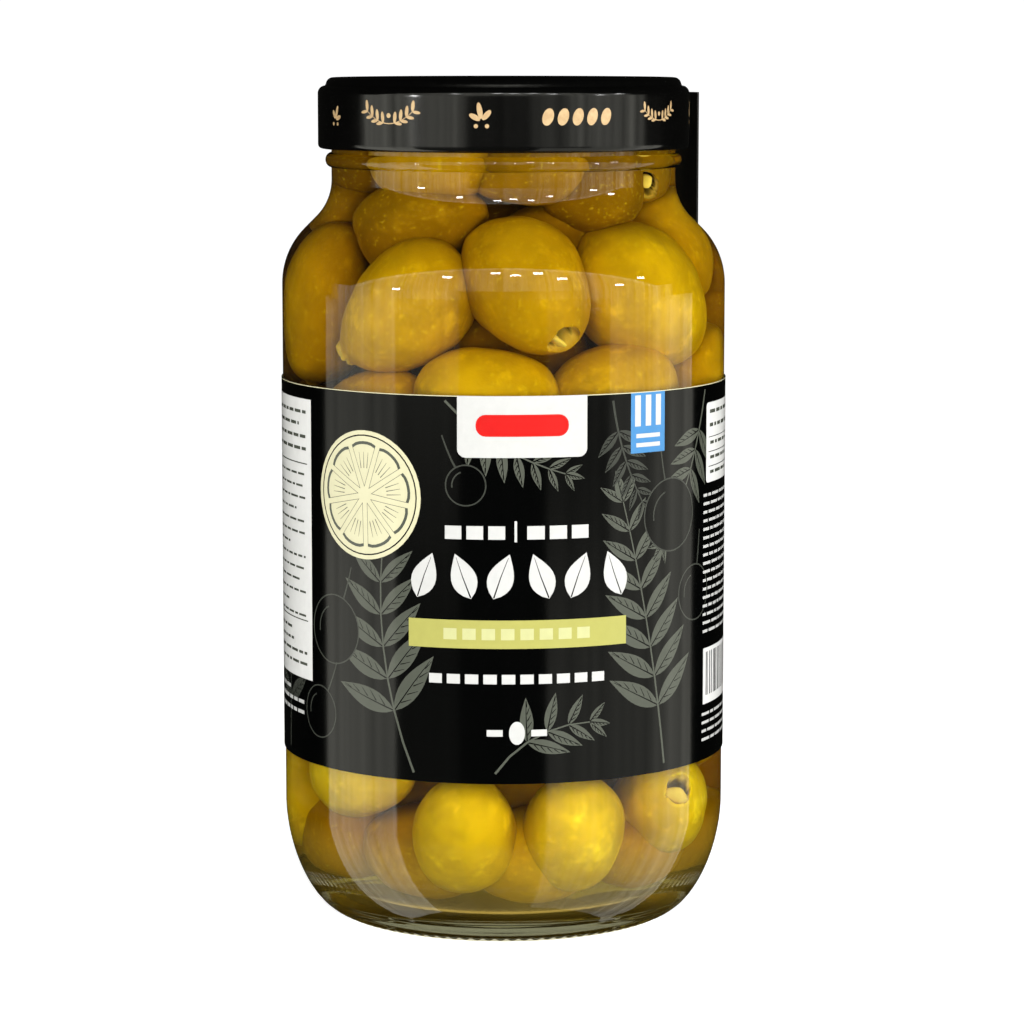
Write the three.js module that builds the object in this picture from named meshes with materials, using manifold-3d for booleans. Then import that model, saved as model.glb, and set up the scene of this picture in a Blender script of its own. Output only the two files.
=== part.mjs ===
// A tall glass jar of large pitted green olives: glass, twist-off lid, wrap-round label, seal strip
// and the heap of olives. Millimetres, +Z up. The origin is the middle of the base, and -Y is the front.

import * as THREE from 'three';
import { mergeVertices } from 'three/addons/utils/BufferGeometryUtils.js';
import Module from 'manifold-3d';

const wasm = await Module();
wasm.setup();

// Driving dimensions of the glass
const BODY_RADIUS = 55;
const WALL = 2.7;
const FOOT_RADIUS = 41.8;
const FOOT_WIDTH = 2.8;
const PUNT_HEIGHT = 2.4;
const FLOOR_HEIGHT = 7.2;
const FLOOR_RISE = 0.8;
const HEEL_HEIGHT = 27.5;
const SHOULDER_BOTTOM = 157.3;
const SHOULDER_RADIUS = 19.2;
const SHOULDER_TURN = Math.PI / 4;
const NECK_RADIUS = 42.6;
const NECK_FILLET = 13;
const BEAD_HEIGHT = 187.8;
const BEAD_REACH = 1.5;
const BEAD_HALF = 1.8;
const MOUTH_HEIGHT = 206.7;
const LIP_ROUND = 1.1;

// The heel's outline is a superellipse, and these are its two exponents
const HEEL_UP = 1.8;
const HEEL_OUT = 1.69;

// Driving dimensions of the lid
const LID_RADIUS = 45.9;
const LID_TOP = 208;
const LID_BOTTOM = 190.6;
const LID_SHEET = 0.8;
const CORNER_RADIUS = 1.9;
const RIM_INNER = 38.4;
const RIM_OUTER = 43.9;
const RIM_RISE = 2.0;
const PANEL_DROP = 1.6;
const CURL_RADIUS = 1.05;

// Driving dimensions of the label and of the seal strip that stands on it
const LABEL_BOTTOM = 41.5;
const LABEL_TOP = 134.2;
const LABEL_GAP = 0.15;
const LABEL_SHEET = 0.25;
const STRIP_BOTTOM = 122;
const STRIP_TOP = 204;
const STRIP_FREE_EDGE = 117.6;
const STRIP_FAR_EDGE = 165;
const STRIP_SHEET = 0.5;
const STRIP_GAP = 0.4;
const STRIP_BEND_FROM = 158;
const STRIP_BEND_TO = 189;
const STRIP_TURN_FROM = 122;
const STRIP_TURN_TO = 146;

// Driving dimensions of the heap
const OLIVE_LENGTH = 34;
const OLIVE_WIDTH = 26;
const OLIVE_GAP = 0.4;
const CORE_RADIUS = 37;
const CORE_NECK_RADIUS = 27;
const CORE_BOTTOM = 14;
const CORE_SHOULDER = 150;
const CORE_TOP = 192;

// How finely the round shapes are divided
const ROUND_STEPS = 48;
const HEEL_STEPS = 7;
const SHOULDER_STEPS = 4;
const CAVITY_HEEL_STEPS = 5;
const CAVITY_SHOULDER_STEPS = 3;
const OLIVE_STEPS = 12;
const OLIVE_RINGS = 7;
const STRIP_COLUMNS = 6;
const STRIP_ROWS = 12;
const SEED = 7;

// Olives that show at the front, one row each: azimuth round from the front towards +X in degrees,
// height of the middle in mm, tilt of the long axis towards +X in degrees, lean of its upper end
// outwards in degrees, inset from the glass in mm, and size as a share of the driving dimensions.
const FRONT_OLIVES = [
  [-78, 150, 10, 0, 0, 1.0],
  [-34, 152, 42, -6, 0, 1.0],
  [8, 158, -32, -14, 0, 0.98],
  [55, 154, -52, 0, 0, 1.0],
  [-5, 132, -80, 6, 0, 0.98],
  [38, 132, 76, 6, 0, 0.98],
  [84, 132, 15, 0, 0, 0.95],
  [-46, 126, 70, 0, 2, 0.92],
  [-42, 173, 84, 0, 2, 0.9],
  [44, 170, 60, 10, 12, 0.9],
  [92, 166, 40, 0, 0, 0.9],
  [-98, 170, 60, 0, 0, 0.88],
  [14, 187, 86, 0, 2, 0.85],
  [-85, 189, 80, 0, 1, 0.85],
  [80, 188, -70, 0, 1, 0.85],
  [-93, 31, 10, 0, 0, 0.92],
  [-51, 40, 75, 0, 0, 0.9],
  [-13, 27, 6, 32, 0, 0.9],
  [24, 27, -6, 34, 0, 0.9],
  [67, 31, -66, 0, 0, 0.94],
];

// Rings of olives that fill the sides and the back: height, first and last azimuth, how many
const BACK_RINGS = [
  [30, 112, 222, 3],
  [152, 108, 238, 4],
  [131, 126, 236, 3],
  [172, 138, 222, 3],
  [188, 150, 220, 2],
];

const radians = (degrees) => (degrees * Math.PI) / 180;
const mix = (a, b, share) => a + (b - a) * share;

function smooth(value, low, high) {
  const share = Math.min(1, Math.max(0, (value - low) / (high - low)));
  return share * share * (3 - 2 * share);
}

// A seeded generator, so that the heap is the same each time
function seededRandom(seed) {
  let state = seed;
  return () => {
    state = (state * 16807) % 2147483647;
    return state / 2147483647;
  };
}

const material = (color, roughness, metalness) =>
  new THREE.MeshStandardMaterial({ color, roughness, metalness });

function named(name, geometry, look) {
  const mesh = new THREE.Mesh(geometry, look);
  mesh.name = name;
  return mesh;
}

// Points [radius, height] turned round the Z axis
function turned(outline) {
  const points = outline.map(([radius, height]) => new THREE.Vector2(radius, height));
  const geometry = new THREE.LatheGeometry(points, ROUND_STEPS);
  geometry.rotateX(Math.PI / 2);
  return geometry;
}

// A quarter of a superellipse from the foot or floor out to the wall, going up
function heelCurve(fromRadius, toRadius, fromHeight, toHeight, steps) {
  return Array.from({ length: steps + 1 }, (_, i) => {
    const turn = (Math.PI / 2) * (i / steps);
    const out = Math.sin(turn) ** (2 / HEEL_OUT);
    const up = 1 - Math.max(0, Math.cos(turn)) ** (2 / HEEL_UP);
    return [mix(fromRadius, toRadius, out), mix(fromHeight, toHeight, up)];
  });
}

// The shoulder's two arcs and the slope between them, at a distance inside the outer skin
function shoulderCurve(inside, steps) {
  const points = [];
  const roundOut = SHOULDER_RADIUS - inside;
  const roundIn = NECK_FILLET + inside;
  const arcCentre = BODY_RADIUS - SHOULDER_RADIUS;
  for (let i = 0; i <= steps; i += 1) {
    const turn = SHOULDER_TURN * (i / steps);
    points.push([arcCentre + roundOut * Math.cos(turn), SHOULDER_BOTTOM + roundOut * Math.sin(turn)]);
  }
  const filletCentre = NECK_RADIUS + NECK_FILLET;
  const outerArcEnd = arcCentre + SHOULDER_RADIUS * Math.cos(SHOULDER_TURN);
  const outerFilletStart = filletCentre - NECK_FILLET * Math.cos(SHOULDER_TURN);
  const filletTop = SHOULDER_BOTTOM
    + (SHOULDER_RADIUS + NECK_FILLET) * Math.sin(SHOULDER_TURN)
    + (outerArcEnd - outerFilletStart) / Math.tan(SHOULDER_TURN);
  for (let i = steps; i >= 0; i -= 1) {
    const turn = SHOULDER_TURN * (i / steps);
    points.push([filletCentre - roundIn * Math.cos(turn), filletTop - roundIn * Math.sin(turn)]);
  }
  return points;
}

// The inner skin from the middle of the floor up to the mouth
function cavityOutline() {
  const wall = BODY_RADIUS - WALL;
  return [
    [0, FLOOR_HEIGHT + FLOOR_RISE],
    ...heelCurve(FOOT_RADIUS * 0.7, wall, FLOOR_HEIGHT, HEEL_HEIGHT + WALL, CAVITY_HEEL_STEPS),
    ...shoulderCurve(WALL, CAVITY_SHOULDER_STEPS),
    [NECK_RADIUS - WALL, MOUTH_HEIGHT - LIP_ROUND],
  ];
}

function glassOutline() {
  const bead = Array.from({ length: 5 }, (_, i) => {
    const turn = Math.PI * (i / 4 - 0.5);
    return [NECK_RADIUS + BEAD_REACH * Math.cos(turn), BEAD_HEIGHT + BEAD_HALF * Math.sin(turn)];
  });
  return [
    [0, PUNT_HEIGHT],
    [FOOT_RADIUS - FOOT_WIDTH - PUNT_HEIGHT, PUNT_HEIGHT],
    [FOOT_RADIUS - FOOT_WIDTH, 0],
    ...heelCurve(FOOT_RADIUS, BODY_RADIUS, 0, HEEL_HEIGHT, HEEL_STEPS),
    ...shoulderCurve(0, SHOULDER_STEPS),
    ...bead,
    [NECK_RADIUS, MOUTH_HEIGHT - LIP_ROUND],
    [NECK_RADIUS - LIP_ROUND / 2, MOUTH_HEIGHT],
    [NECK_RADIUS - WALL + LIP_ROUND / 2, MOUTH_HEIGHT],
    ...cavityOutline().reverse(),
  ];
}

function jarGlass() {
  return named('jar_glass', turned(glassOutline()), material(0xdfe8dc, 0.05, 0));
}

// A point on the lid's curled lower edge, by turn from straight out
function curlPoint(turn) {
  const centre = LID_RADIUS - CURL_RADIUS;
  return [centre + CURL_RADIUS * Math.cos(turn), LID_BOTTOM + CURL_RADIUS + CURL_RADIUS * Math.sin(turn)];
}

function lid() {
  const shoulder = LID_TOP - RIM_RISE;
  const underside = LID_TOP - PANEL_DROP - LID_SHEET;
  const inner = LID_RADIUS - LID_SHEET;
  const corner = [0, 1, 2, 3].map((i) => {
    const turn = (Math.PI / 2) * (i / 3);
    const middle = LID_RADIUS - CORNER_RADIUS;
    return [middle + CORNER_RADIUS * Math.cos(turn), shoulder - CORNER_RADIUS * (1 - Math.sin(turn))];
  });
  const outline = [
    [0, underside],
    [RIM_INNER + LID_SHEET, underside],
    [RIM_INNER + LID_SHEET * 1.7, LID_TOP - LID_SHEET],
    [RIM_OUTER - LID_SHEET * 2.2, LID_TOP - LID_SHEET],
    [RIM_OUTER - LID_SHEET, shoulder - LID_SHEET],
    [inner - CORNER_RADIUS * 0.4, shoulder - LID_SHEET],
    [inner, shoulder - CORNER_RADIUS],
    [inner, LID_BOTTOM + 2 * CURL_RADIUS],
    ...[3, 4, 5, 6, 7, 8].map((i) => curlPoint((-Math.PI / 4) * (11 - i))),
    ...corner,
    [RIM_OUTER - LID_SHEET * 0.6, shoulder + RIM_RISE * 0.6],
    [RIM_OUTER - LID_SHEET * 2, LID_TOP],
    [RIM_INNER + LID_SHEET * 1.5, LID_TOP],
    [RIM_INNER, LID_TOP - PANEL_DROP],
    [0, LID_TOP - PANEL_DROP],
  ];
  return named('lid', turned(outline), material(0x141414, 0.3, 0.6));
}

function label() {
  const inner = BODY_RADIUS + LABEL_GAP;
  const outer = inner + LABEL_SHEET;
  const outline = [
    [inner, LABEL_BOTTOM],
    [outer, LABEL_BOTTOM],
    [outer, LABEL_TOP],
    [inner, LABEL_TOP],
    [inner, LABEL_BOTTOM],
  ];
  return named('label', turned(outline), material(0x191919, 0.45, 0));
}

// A closed sheet: pointAt(u, v, side) gives a point on its back (side 0) or its front (side 1)
function closedSheet(columns, rows, pointAt) {
  const positions = [];
  const faces = [];
  const across = columns + 1;
  const up = rows + 1;
  const at = (i, j, side) => side * across * up + j * across + i;
  for (const side of [0, 1]) {
    for (let j = 0; j < up; j += 1) {
      for (let i = 0; i < across; i += 1) {
        positions.push(...pointAt(i / columns, j / rows, side));
      }
    }
  }
  const quad = (a, b, c, d) => faces.push(a, b, c, a, c, d);
  for (let j = 0; j < rows; j += 1) {
    for (let i = 0; i < columns; i += 1) {
      quad(at(i, j, 1), at(i + 1, j, 1), at(i + 1, j + 1, 1), at(i, j + 1, 1));
      quad(at(i, j, 0), at(i, j + 1, 0), at(i + 1, j + 1, 0), at(i + 1, j, 0));
    }
    quad(at(0, j, 0), at(0, j, 1), at(0, j + 1, 1), at(0, j + 1, 0));
    quad(at(columns, j, 1), at(columns, j, 0), at(columns, j + 1, 0), at(columns, j + 1, 1));
  }
  for (let i = 0; i < columns; i += 1) {
    quad(at(i, 0, 0), at(i + 1, 0, 0), at(i + 1, 0, 1), at(i, 0, 1));
    quad(at(i, rows, 1), at(i + 1, rows, 1), at(i + 1, rows, 0), at(i, rows, 0));
  }
  const geometry = new THREE.BufferGeometry();
  geometry.setAttribute('position', new THREE.Float32BufferAttribute(positions, 3));
  geometry.setIndex(faces);
  geometry.computeVertexNormals();
  return geometry;
}

// The strip is stuck to the label's upper edge and to the lid's skirt. Its near edge springs free and
// stands straight up, while the rest leans in over the shoulder to the lid.
function sealStrip() {
  const onLabel = BODY_RADIUS + LABEL_GAP + LABEL_SHEET + STRIP_GAP;
  const onLid = LID_RADIUS + STRIP_GAP;
  const pointAt = (u, v, side) => {
    const azimuth = mix(STRIP_FREE_EDGE, STRIP_FAR_EDGE, u);
    const height = mix(STRIP_BOTTOM, STRIP_TOP, v);
    const lean = smooth(azimuth, STRIP_TURN_FROM, STRIP_TURN_TO);
    const bend = smooth(height, STRIP_BEND_FROM, STRIP_BEND_TO);
    const radius = mix(onLabel, onLid, lean * bend) + side * STRIP_SHEET;
    const turn = radians(azimuth);
    return [radius * Math.sin(turn), -radius * Math.cos(turn), height];
  };
  return named('seal_strip', closedSheet(STRIP_COLUMNS, STRIP_ROWS, pointAt), material(0x101010, 0.5, 0));
}

// Only positions, with the vertices that lie together merged into one
function merged(geometry) {
  geometry.deleteAttribute('normal');
  geometry.deleteAttribute('uv');
  return mergeVertices(geometry);
}

function toSolid(geometry) {
  const vertProperties = new Float32Array(geometry.attributes.position.array);
  const triVerts = new Uint32Array(geometry.index.array);
  return new wasm.Manifold(new wasm.Mesh({ numProp: 3, vertProperties, triVerts }));
}

function toGeometry(solid) {
  const mesh = solid.getMesh();
  const geometry = new THREE.BufferGeometry();
  geometry.setAttribute('position', new THREE.BufferAttribute(mesh.vertProperties, 3));
  geometry.setIndex(new THREE.BufferAttribute(mesh.triVerts, 1));
  geometry.computeVertexNormals();
  return geometry;
}

// The widest radius that is free at a height inside the glass
function cavityRadius(height) {
  const outline = cavityOutline();
  for (let i = 1; i < outline.length; i += 1) {
    const [lowRadius, low] = outline[i - 1];
    const [highRadius, high] = outline[i];
    if (height >= low && height <= high && high > low) {
      return mix(lowRadius, highRadius, (height - low) / (high - low)) - OLIVE_GAP;
    }
  }
  return 0;
}

// One olive, turned as its row says and moved out until it meets the glass
function seatedOlive([azimuth, height, tilt, lean, inset, size]) {
  const geometry = merged(new THREE.SphereGeometry(0.5, OLIVE_STEPS, OLIVE_RINGS));
  geometry.rotateX(Math.PI / 2);
  geometry.scale(OLIVE_WIDTH * size, OLIVE_WIDTH * size, OLIVE_LENGTH * size);
  geometry.rotateX(radians(lean));
  geometry.rotateY(radians(tilt));
  const turn = radians(azimuth);
  const fits = (distance) => {
    const spot = geometry.attributes.position;
    for (let i = 0; i < spot.count; i += 1) {
      const reach = Math.hypot(spot.getX(i), spot.getY(i) - distance);
      if (reach > cavityRadius(spot.getZ(i) + height)) return false;
    }
    return true;
  };
  let near = 0;
  let far = BODY_RADIUS;
  for (let i = 0; i < 20; i += 1) {
    const middle = (near + far) / 2;
    if (fits(middle)) near = middle;
    else far = middle;
  }
  geometry.translate(0, inset - near, height);
  geometry.rotateZ(turn);
  return geometry;
}

function backOlives() {
  const random = seededRandom(SEED);
  return BACK_RINGS.flatMap(([height, first, last, count]) =>
    Array.from({ length: count }, (_, i) => [
      mix(first, last, i / (count - 1)),
      height + mix(-2, 2, random()),
      mix(-80, 80, random()),
      mix(-12, 12, random()),
      0,
      mix(0.86, 0.96, random()),
    ]));
}

// The heap without its loose outline: a plain core that the olives stand out of
function core() {
  const outline = [
    [0, CORE_BOTTOM],
    [CORE_RADIUS * 0.8, CORE_BOTTOM],
    [CORE_RADIUS, CORE_BOTTOM + 12],
    [CORE_RADIUS, CORE_SHOULDER],
    [CORE_NECK_RADIUS, CORE_SHOULDER + 22],
    [CORE_NECK_RADIUS, CORE_TOP],
    [0, CORE_TOP],
  ];
  return turned(outline);
}

function oliveHeap() {
  let heap = toSolid(merged(core()));
  for (const row of [...FRONT_OLIVES, ...backOlives()]) {
    heap = heap.add(toSolid(seatedOlive(row)));
  }
  return named('olives', toGeometry(heap), material(0xa8841c, 0.35, 0));
}

const group = new THREE.Group();
group.add(jarGlass(), lid(), label(), sealStrip(), oliveHeap());

export default group;
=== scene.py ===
"""The looks of a glass jar of green olives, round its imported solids. Metres, +Z up, -Y is the front."""

import math
import random

import bpy
import numpy as np
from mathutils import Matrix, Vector, noise
from mathutils.geometry import delaunay_2d_cdt

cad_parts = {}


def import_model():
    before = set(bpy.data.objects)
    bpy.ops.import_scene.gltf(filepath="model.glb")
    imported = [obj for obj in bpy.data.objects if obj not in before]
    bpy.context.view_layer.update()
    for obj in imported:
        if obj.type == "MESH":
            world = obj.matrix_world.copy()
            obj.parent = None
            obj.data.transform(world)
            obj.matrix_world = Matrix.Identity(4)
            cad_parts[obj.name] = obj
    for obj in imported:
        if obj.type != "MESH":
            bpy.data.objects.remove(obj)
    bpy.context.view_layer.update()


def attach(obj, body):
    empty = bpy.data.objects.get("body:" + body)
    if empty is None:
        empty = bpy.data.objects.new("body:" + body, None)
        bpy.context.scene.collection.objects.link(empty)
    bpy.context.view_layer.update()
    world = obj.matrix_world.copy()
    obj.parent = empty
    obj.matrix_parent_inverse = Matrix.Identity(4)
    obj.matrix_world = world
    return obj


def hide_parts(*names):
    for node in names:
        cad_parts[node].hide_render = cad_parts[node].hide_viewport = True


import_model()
MM = 0.001
WHITE = (1.0, 1.0, 1.0, 1.0)
PAPER_SHARE = 0.5

# Sizes of the glass, in mm, as in the solids
BODY_RADIUS = 55.0
WALL = 2.7
FOOT_RADIUS = 41.8
FOOT_WIDTH = 2.8
PUNT_HEIGHT = 2.4
FLOOR_HEIGHT = 7.2
FLOOR_RISE = 0.8
HEEL_HEIGHT = 27.5
SHOULDER_BOTTOM = 157.3
SHOULDER_RADIUS = 19.2
SHOULDER_TURN = 45.0
NECK_RADIUS = 42.6
NECK_FILLET = 13.0
BEAD_HEIGHT = 187.8
BEAD_REACH = 1.5
BEAD_HALF = 1.8
MOUTH_HEIGHT = 206.7
LIP_ROUND = 1.1
HEEL_UP = 1.8
HEEL_OUT = 1.69
EDGE_STEP = 0.6
KNURLS = 94
KNURL_DEPTH = 0.45
KNURL_HEIGHT = 1.2
RIDGE_PITCH = 2.0
RIDGE_DEPTH = 0.03
RIDGE_TOP = 7.0

# Sizes of the lid
LID_RADIUS = 45.9
LID_TOP = 208.0
LID_BOTTOM = 190.6
LID_SHEET = 0.8
CORNER_RADIUS = 1.9
RIM_INNER = 38.4
RIM_OUTER = 43.9
RIM_RISE = 2.0
PANEL_DROP = 1.6
CURL_RADIUS = 1.05

# Sizes of the label and of the seal strip
LABEL_BOTTOM = 41.5
LABEL_TOP = 134.2
LABEL_GAP = 0.15
LABEL_SHEET = 0.25
LABEL_FACE = BODY_RADIUS + LABEL_GAP + LABEL_SHEET
LABEL_ENDS = (-174.0, 191.0)
LABEL_LAP = 0.14
LAP_RISE = (180.0, 184.5)
STRIP_BOTTOM = 122.0
STRIP_TOP = 204.0
STRIP_FREE_EDGE = 117.6
STRIP_FAR_EDGE = 165.0
STRIP_SHEET = 0.5
STRIP_GAP = 0.4
STRIP_BEND = (158.0, 189.0)
STRIP_TURN = (122.0, 146.0)

# Sizes of the heap and the brine
OLIVE_LENGTH = 34.0
OLIVE_WIDTH = 26.0
OLIVE_GAP = 0.25
BRINE_LEVEL = 202.0
BRINE_INTO_WALL = 0.25

# Camera, fitted to the photograph's frame of 1024 by 1024
IMAGE_SIZE = 1024
FOCAL_PIXELS = 3606
AXIS_PIXEL = 503.5
CAMERA_DISTANCE = 0.8976
CAMERA_HEIGHT = 0.2162
CAMERA_PITCH = 7.40
SENSOR = 36.0


def mix(a, b, share):
    return a + (b - a) * share


def smooth(value, low, high):
    share = min(1.0, max(0.0, (value - low) / (high - low)))
    return share * share * (3 - 2 * share)


def linear(red, green, blue, alpha=1.0):
    """A colour given as on a screen, from 0 to 255, in the renderer's linear values."""
    def one(value):
        share = value / 255
        return share / 12.92 if share <= 0.04045 else ((share + 0.055) / 1.055) ** 2.4
    return (one(red), one(green), one(blue), alpha)


# Materials

class Tree:
    """A node tree. An input's value is a number, a colour or another node's output."""

    def __init__(self, tree):
        self.tree = tree

    def put(self, socket, value):
        if isinstance(value, bpy.types.NodeSocket):
            self.tree.links.new(value, socket)
        else:
            socket.default_value = value

    def node(self, kind, inputs=None, **settings):
        made = self.tree.nodes.new("ShaderNode" + kind)
        for key, value in settings.items():
            setattr(made, key, value)
        for key, value in (inputs or {}).items():
            self.put(made.inputs[key], value)
        return made

    def math(self, operation, *values, clamp=False):
        made = self.node("Math", dict(enumerate(values)), operation=operation, use_clamp=clamp)
        return made.outputs["Value"]

    def plus(self, first, second):
        return self.math("ADD", first, second)

    def times(self, first, second):
        return self.math("MULTIPLY", first, second)

    def scaled(self, source, low, high, start=0.0, end=1.0, way="LINEAR"):
        """Takes the source's range from start to end to the range from low to high."""
        inputs = {"Value": source, "From Min": start, "From Max": end, "To Min": low, "To Max": high}
        return self.node("MapRange", inputs, interpolation_type=way).outputs["Result"]

    def mixed(self, share, first, second):
        return self.node("MixShader", {0: share, 1: first, 2: second}).outputs["Shader"]


class Nodes(Tree):
    """A material with its Principled shader, and short ways to add nodes."""

    def __init__(self, name):
        self.material = bpy.data.materials.new(name)
        self.material.use_nodes = True
        super().__init__(self.material.node_tree)
        self.shader = self.tree.nodes["Principled BSDF"]
        self.output = self.tree.nodes["Material Output"]

    def set(self, **values):
        for key, value in values.items():
            self.put(self.shader.inputs[key.replace("_", " ")], value)

    def place(self, scale=(1, 1, 1)):
        """The point in the object's own space, scaled."""
        where = self.node("TexCoord").outputs["Object"]
        return self.node("Mapping", {"Vector": where, "Scale": scale}).outputs["Vector"]

    def noise(self, scale, detail=3.0, roughness=0.5, stretch=(1, 1, 1)):
        inputs = {"Vector": self.place(stretch), "Scale": scale, "Detail": detail, "Roughness": roughness}
        return self.node("TexNoise", inputs).outputs["Fac"]

    def ramp(self, source, *stops):
        """Colours, or greys from 0 to 1, at places along the source."""
        made = self.node("ValToRGB", {"Fac": source})
        marks = made.color_ramp.elements
        while len(marks) < len(stops):
            marks.new(0.5)
        for mark, (position, colour) in zip(marks, stops):
            mark.position = position
            mark.color = colour if isinstance(colour, tuple) else (colour, colour, colour, 1)
        return made.outputs["Color"]

    def blend(self, share, first, second, mode="MIX"):
        inputs = {0: share, 6: first, 7: second}
        return self.node("Mix", inputs, data_type="RGBA", blend_type=mode).outputs[2]

    def bump(self, *layers):
        """Layers of (height source, strength, distance in metres) laid one on another."""
        below = {}
        for source, strength, distance in layers:
            inputs = {"Height": source, "Strength": strength, "Distance": distance, **below}
            below = {"Normal": self.node("Bump", inputs).outputs["Normal"]}
        self.set(**below)

    def absorb(self, colour, density):
        """Darkens what is seen through it, by the length of the way."""
        inside = self.node("VolumeAbsorption", {"Color": colour, "Density": density})
        self.put(self.output.inputs["Volume"], inside.outputs["Volume"])

    def let_lamps_through(self, tint_and_shade):
        """Lamps shine through the glass as if it were clear film, so what is inside is lit."""
        clear = self.node("BsdfTransparent", {"Color": tint_and_shade}).outputs["BSDF"]
        shadow = self.node("LightPath").outputs["Is Shadow Ray"]
        self.put(self.output.inputs["Surface"], self.mixed(shadow, self.shader.outputs["BSDF"], clear))


def glass_material(name, ior, colour, outer):
    nodes = Nodes(name)
    nodes.set(Base_Color=colour, Roughness=0.0, IOR=ior, Transmission_Weight=1.0)
    nodes.let_lamps_through((0.97, 0.985, 0.965, 1.0))
    if outer:
        nodes.bump(
            (nodes.noise(38, 1.5, 0.4, (1, 1, 0.5)), 0.10, 0.0012),
            (nodes.noise(260, 2.0), 0.02, 0.0004),
        )
        nodes.absorb((0.60, 0.61, 0.50, 1.0), 20.0)
    return nodes.material


def sediment(nodes):
    """The share of fine sediment that clouds the brine's surface near the floor. Lamps pass it."""
    height = nodes.node("SeparateXYZ", {"Vector": nodes.place((1 / (30 * MM),) * 3)}).outputs["Z"]
    low = nodes.ramp(height, (0.26, 0.08), (0.30, 0.22), (0.60, 0.18), (0.90, 0.0))
    patchy = nodes.scaled(nodes.noise(70, 4, 0.6), 0.3, 1.7)
    shadow = nodes.node("LightPath").outputs["Is Shadow Ray"]
    return nodes.math("SUBTRACT", nodes.times(low, patchy), shadow, clamp=True)


def brine_material():
    nodes = Nodes("brine")
    clear = nodes.node("BsdfTransparent", {"Color": WHITE}).outputs["BSDF"]
    cloud = nodes.node("BsdfDiffuse", {"Color": (0.92, 0.63, 0.10, 1.0)}).outputs["BSDF"]
    nodes.put(nodes.output.inputs["Surface"], nodes.mixed(sediment(nodes), clear, cloud))
    nodes.absorb((0.99, 0.88, 0.0, 1.0), 47.0)
    return nodes.material


def olive_material():
    """Each olive has a tint, partly its own colour and partly painted shade, darkest deep in the jar and
    high under the shoulder. Flesh is 1 on torn flesh, and 2 deep in a pit hole, where it paints shade near
    black.
    """
    nodes = Nodes("olive_skin")
    tint_and_shade = nodes.node("Attribute", attribute_name="tint_and_shade").outputs["Fac"]
    flesh_and_pit_shade = nodes.node("Attribute", attribute_name="flesh_and_pit_shade").outputs["Fac"]
    # Low tints paint shade: olives high under the shoulder and deep in the jar go nearly black.
    skin = nodes.ramp(
        tint_and_shade,
        (0.0, (0.20, 0.092, 0.0005, 1)),
        (0.2, (0.42, 0.212, 0.0008, 1)),
        (0.5, (0.56, 0.305, 0.001, 1)),
        (0.7, (0.68, 0.400, 0.0015, 1)),
        (0.85, (0.80, 0.510, 0.005, 1)),
        (1.0, (0.97, 0.64, 0.012, 1)),
    )
    dark = nodes.blend(1.0, skin, (0.55, 0.52, 0.4, 1), "MULTIPLY")
    blotches = nodes.ramp(nodes.noise(95, 6, 0.65), (0.38, 0), (0.66, 1))
    skin = nodes.blend(nodes.scaled(blotches, 0.0, 0.6), skin, dark)
    pale = nodes.blend(1.0, skin, (1.5, 1.62, 3.2, 1), "MULTIPLY")
    patches = nodes.ramp(nodes.noise(150, 6, 0.7), (0.53, 0), (0.66, 1))
    skin = nodes.blend(nodes.scaled(patches, 0.0, 0.65), skin, pale)
    specks = nodes.ramp(nodes.noise(900, 2, 0.5), (0.60, 0), (0.75, 1))
    skin = nodes.blend(nodes.scaled(specks, 0.0, 0.35), skin, (0.80, 0.57, 0.012, 1))
    meat = nodes.blend(nodes.noise(400, 3, 0.6), (0.90, 0.68, 0.16, 1), (0.74, 0.46, 0.04, 1))
    skin = nodes.blend(nodes.scaled(flesh_and_pit_shade, 0.0, 1.0), skin, meat)
    # Flesh values from 1 to 2 paint the shade deep in a pit hole, down to near black.
    skin = nodes.blend(nodes.scaled(flesh_and_pit_shade, 0.0, 1.0, 1.0, 2.0), skin, (0.02, 0.008, 0.0003, 1))
    nodes.set(Base_Color=skin, Roughness=0.4, Specular_IOR_Level=0.03)
    nodes.set(Subsurface_Weight=0.25, Subsurface_Radius=(1.0, 0.55, 0.12), Subsurface_Scale=0.004)
    nodes.bump((nodes.noise(150, 5, 0.65), 0.5, 0.0007), (nodes.noise(1100, 2, 0.5), 0.2, 0.00015))
    return nodes.material


def paper_material(name, colour, roughness):
    """Coated paper with ink on it: a fine tooth, faint mottle in the gloss, and slight waves."""
    nodes = Nodes(name)
    darker = tuple(0.86 * value for value in colour[:3]) + (1.0,)
    nodes.set(
        Base_Color=nodes.blend(nodes.noise(420, 3, 0.6), darker, colour),
        Roughness=nodes.scaled(nodes.noise(90, 3, 0.6), roughness - 0.03, roughness + 0.03),
        Specular_IOR_Level=0.28,
    )
    nodes.bump(
        (nodes.noise(35, 2, 0.5, (1, 1, 0.35)), 0.10, 0.001),
        (nodes.noise(2600, 1, 0.5), 0.06, 0.00008),
    )
    return nodes.material


def lacquer_material():
    nodes = Nodes("lid_lacquer")
    nodes.set(
        Base_Color=nodes.blend(
            nodes.noise(300, 3, 0.6), (0.0006, 0.0006, 0.0006, 1), (0.0014, 0.0014, 0.0013, 1),
        ),
        Roughness=nodes.scaled(nodes.noise(70, 4, 0.65), 0.09, 0.15),
        Specular_IOR_Level=0.5,
    )
    nodes.bump(
        (nodes.noise(34, 2, 0.5, (1, 1, 1.6)), 0.11, 0.0012),
        (nodes.noise(1400, 2, 0.5), 0.05, 0.00008),
    )
    return nodes.material


def gold_material():
    nodes = Nodes("lid_gold")
    dark, light = dimmed(linear(196, 150, 98)), dimmed(linear(252, 222, 168))
    nodes.set(Base_Color=nodes.blend(nodes.noise(900, 3, 0.6), dark, light), Roughness=0.4, Metallic=0.15)
    nodes.bump((nodes.noise(1400, 2, 0.5), 0.05, 0.00008))
    return nodes.material


# Meshes

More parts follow.
